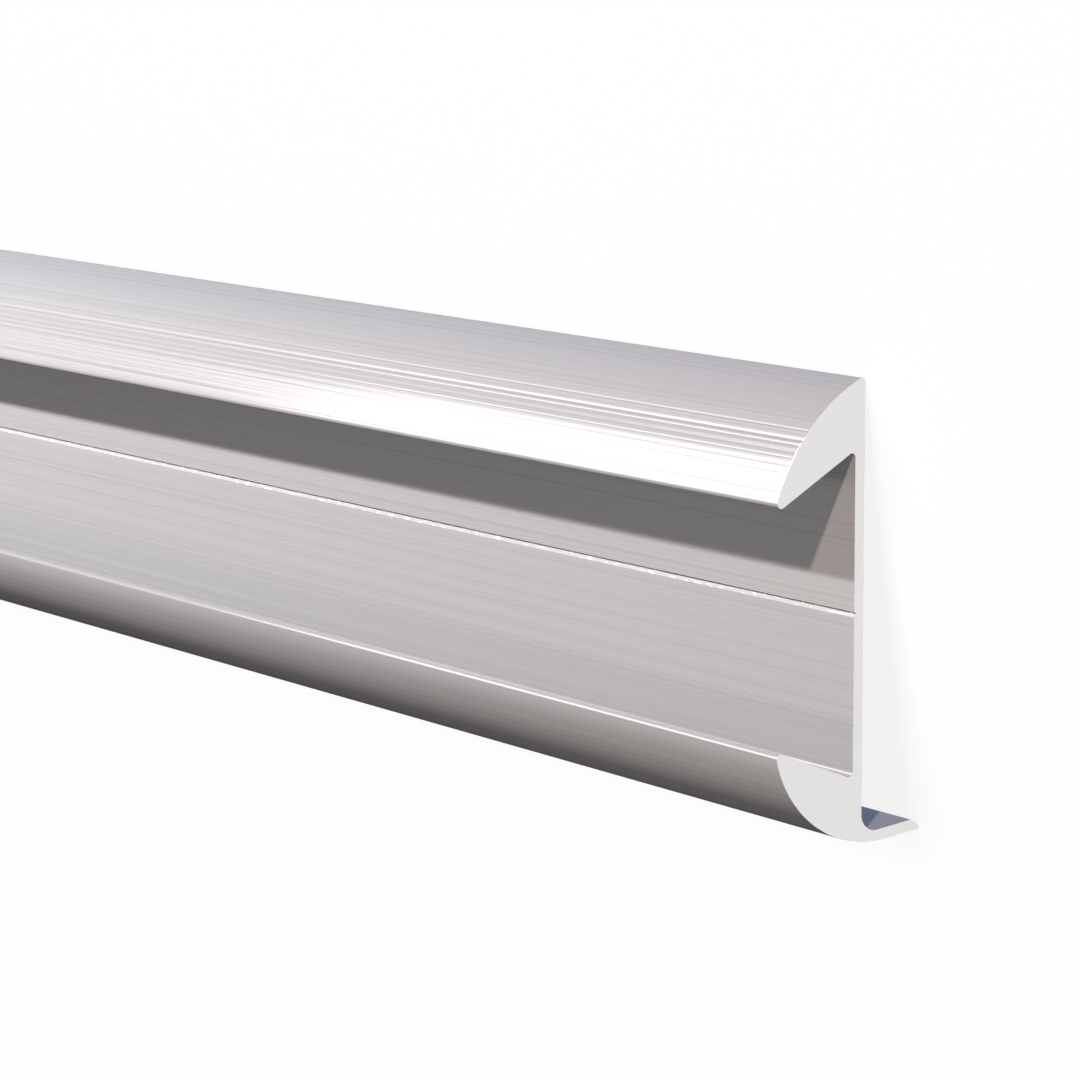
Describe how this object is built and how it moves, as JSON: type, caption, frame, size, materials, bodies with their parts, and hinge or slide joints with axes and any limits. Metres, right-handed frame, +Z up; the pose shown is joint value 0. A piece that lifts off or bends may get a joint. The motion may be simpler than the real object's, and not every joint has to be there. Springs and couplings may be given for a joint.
{
  "type": "aluminium extrusion profile",
  "caption": "Long aluminium extrusion with a flat web, an undercut curved lip along its top, an upturned curved lip along its bottom and a thin rear foot.",
  "frame": {"origin": "under the middle of the profile, on the floor that it lies on", "axes": "+X along the length, +Y up the section from its base to its top edge, +Z up, out of the channel"},
  "size_m": [1, 0.0498, 0.0171],
  "materials": {
    "aluminium": "mill finish with fine die lines along its length, ends sawn square"
  },
  "bodies": {
    "root": {"profile": "aluminium"}
  },
  "joints": []
}
